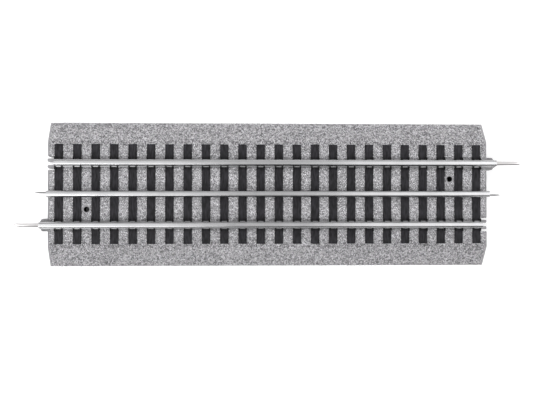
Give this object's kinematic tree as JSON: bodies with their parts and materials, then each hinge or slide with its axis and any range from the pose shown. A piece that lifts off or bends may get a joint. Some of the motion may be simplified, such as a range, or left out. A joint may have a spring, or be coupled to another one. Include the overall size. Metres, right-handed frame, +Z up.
{
  "type": "model track section",
  "caption": "Straight three-rail model railway track section with a grey ballast roadbed, dark sleepers, hollow rails, rail pins and interlocking ends.",
  "frame": {"origin": "middle of the section in plan, on the surface the roadbed's rim stands on (bottom centre of the bounding box)", "axes": "+X along the track, +Y across it towards the outer rail whose pin is at the +X end, +Z up through the rail tops"},
  "size_m": [0.29, 0.0836, 0.02],
  "materials": {
    "ballast": "matte grey moulded plastic with a fine granular ballast texture",
    "sleeper": "matte near-black plastic with faint wood grain",
    "rail": "plated sheet, satin, bright on the running surface",
    "pin": "bright steel",
    "terminal": "tinned brass sheet"
  },
  "bodies": {
    "root": {"roadbed": "ballast", "sleeper_01": "sleeper", "sleeper_02": "sleeper", "sleeper_03": "sleeper", "sleeper_04": "sleeper", "sleeper_05": "sleeper", "sleeper_06": "sleeper", "sleeper_07": "sleeper", "sleeper_08": "sleeper", "sleeper_09": "sleeper", "sleeper_10": "sleeper", "sleeper_11": "sleeper", "sleeper_12": "sleeper", "sleeper_13": "sleeper", "sleeper_14": "sleeper", "sleeper_15": "sleeper", "sleeper_16": "sleeper", "sleeper_17": "sleeper", "sleeper_18": "sleeper", "sleeper_19": "sleeper", "sleeper_20": "sleeper", "sleeper_21": "sleeper", "sleeper_22": "sleeper", "sleeper_23": "sleeper", "sleeper_24": "sleeper", "rail_outer_far": "rail", "rail_outer_near": "rail", "rail_centre": "rail", "rail_pin_left": "pin", "rail_pin_right": "pin", "centre_blade_left": "pin", "centre_blade_right": "pin", "outer_jumper_left": "terminal", "outer_jumper_right": "terminal", "centre_terminal_left": "terminal", "centre_terminal_right": "terminal"}
  },
  "joints": []
}
